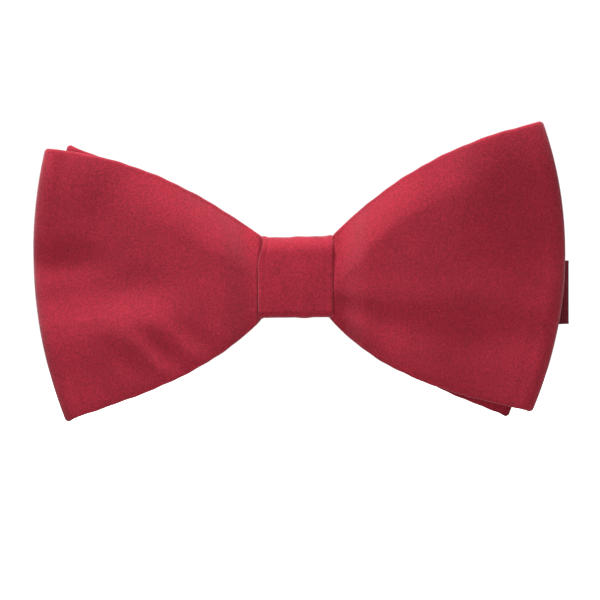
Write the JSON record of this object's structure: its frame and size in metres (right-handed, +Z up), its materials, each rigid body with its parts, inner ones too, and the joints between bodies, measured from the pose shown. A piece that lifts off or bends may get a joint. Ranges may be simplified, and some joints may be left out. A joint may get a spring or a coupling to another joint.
{
  "type": "bow tie",
  "caption": "Pre-tied bow tie: two stacked looped bows held by a knot, on an adjustable ribbon neck strap with slider, hook and eye, folded flat behind the wings.",
  "frame": {"origin": "centre of the knot's flat rear face, which rests on the shirt's collar button", "axes": "+Z up as worn, +X to the right seen from the front, along the bow; the front faces -Y and the neck strap lies at +Y"},
  "size_m": [0.1262, 0.0206, 0.0712],
  "materials": {
    "face_cloth": "matt fine-napped cloth with a soft sheen",
    "facing_cloth": "matt lining cloth in the same red",
    "interlining": "undyed woven canvas",
    "ribbon": "dark maroon grosgrain ribbon",
    "thread": "twisted sewing thread",
    "nickel": "bright nickel plate"
  },
  "bodies": {
    "bow": {"front_bow_face": "face_cloth", "front_bow_interlining": "interlining", "front_bow_facing": "facing_cloth", "back_bow_face": "face_cloth", "back_bow_interlining": "interlining", "back_bow_facing": "facing_cloth", "gathering_thread": "thread", "knot_wrap": "face_cloth", "knot_interlining": "interlining", "knot_stitches": "thread"},
    "strap_centre": {"strap_centre_run": "ribbon", "strap_right_fold_1": "ribbon", "strap_left_fold_1": "ribbon"},
    "strap_right_2": {"strap_right_run_2": "ribbon", "strap_right_fold_2": "ribbon"},
    "strap_right_3": {"strap_right_run_3": "ribbon", "strap_right_fold_3": "ribbon"},
    "strap_right_4": {"strap_right_run_4": "ribbon"},
    "slider_carriage": {"slider": "nickel", "strap_slider_weave": "ribbon", "strap_hook_run": "ribbon", "strap_return_run": "ribbon", "strap_sewn_loop": "ribbon", "slider_tack": "thread"},
    "hook_turn": {"strap_hook_turn": "ribbon"},
    "hook_piece": {"hook": "nickel"},
    "strap_left_2": {"strap_left_run_2": "ribbon", "strap_left_fold_2": "ribbon"},
    "strap_left_3": {"strap_left_run_3": "ribbon", "strap_left_fold_3": "ribbon"},
    "strap_left_4": {"strap_left_run_4": "ribbon", "strap_eye_turn": "ribbon", "strap_eye_tail": "ribbon", "eye_tack": "thread"},
    "eye_piece": {"eye": "nickel"}
  },
  "joints": [
    {"name": "strap_shift", "type": "slide", "parent": "bow", "child": "strap_centre", "axis": [0.9985, 0, -0.0541], "range_m": [-0.004, 0.004]},
    {"name": "right_fold_1", "type": "hinge", "parent": "strap_centre", "child": "strap_right_2", "pos_m": [0.0637, -0.00135, -0.00345], "axis": [0, 0, -1], "range_deg": [0, 176], "deforming": ["strap_right_fold_1"]},
    {"name": "right_fold_2", "type": "hinge", "parent": "strap_right_2", "child": "strap_right_3", "pos_m": [0.02, -0.00025, -0.00582], "axis": [-0.027, 0, 0.9996], "range_deg": [0, 176], "deforming": ["strap_right_fold_2"]},
    {"name": "right_fold_3", "type": "hinge", "parent": "strap_right_3", "child": "strap_right_4", "pos_m": [0.0585, 0.00155, -0.00582], "axis": [0, 0, -1], "range_deg": [0, 176], "deforming": ["strap_right_fold_3"]},
    {"name": "slider_travel", "type": "slide", "parent": "strap_right_4", "child": "slider_carriage", "axis": [-1, 0, 0], "range_m": [-0.006, 0.006], "deforming": ["strap_right_run_4"]},
    {"name": "hook_travel", "type": "slide", "parent": "slider_carriage", "child": "hook_turn", "axis": [-1, 0, 0], "range_m": [-0.003, 0.003], "deforming": ["strap_hook_run", "strap_return_run"]},
    {"name": "hook_swivel", "type": "hinge", "parent": "hook_turn", "child": "hook_piece", "pos_m": [0.0245, 0.00195, -0.00582], "axis": [0, 0, -1], "range_deg": [0, 110]},
    {"name": "left_fold_1", "type": "hinge", "parent": "strap_centre", "child": "strap_left_2", "pos_m": [-0.059, -0.00135, 0.00319], "axis": [0.027, 0, 0.9996], "range_deg": [0, 176], "deforming": ["strap_left_fold_1"]},
    {"name": "left_fold_2", "type": "hinge", "parent": "strap_left_2", "child": "strap_left_3", "pos_m": [-0.02, -0.00025, 0.00319], "axis": [0, 0, -1], "range_deg": [0, 176], "deforming": ["strap_left_fold_2"]},
    {"name": "left_fold_3", "type": "hinge", "parent": "strap_left_3", "child": "strap_left_4", "pos_m": [-0.057, 0.0008, 0.00319], "axis": [0, 0, 1], "range_deg": [0, 176], "deforming": ["strap_left_fold_3"]},
    {"name": "eye_swivel", "type": "hinge", "parent": "strap_left_4", "child": "eye_piece", "pos_m": [-0.0245, 0.00215, 0.00319], "axis": [0, 0, 1], "range_deg": [0, 110]}
  ],
  "couplings": [
    {"joint": "right_fold_2", "follows": "right_fold_1", "ratio": 1},
    {"joint": "right_fold_3", "follows": "right_fold_1", "ratio": 1},
    {"joint": "hook_travel", "follows": "slider_travel", "ratio": -0.5},
    {"joint": "left_fold_2", "follows": "left_fold_1", "ratio": 1},
    {"joint": "left_fold_3", "follows": "left_fold_1", "ratio": 1}
  ]
}
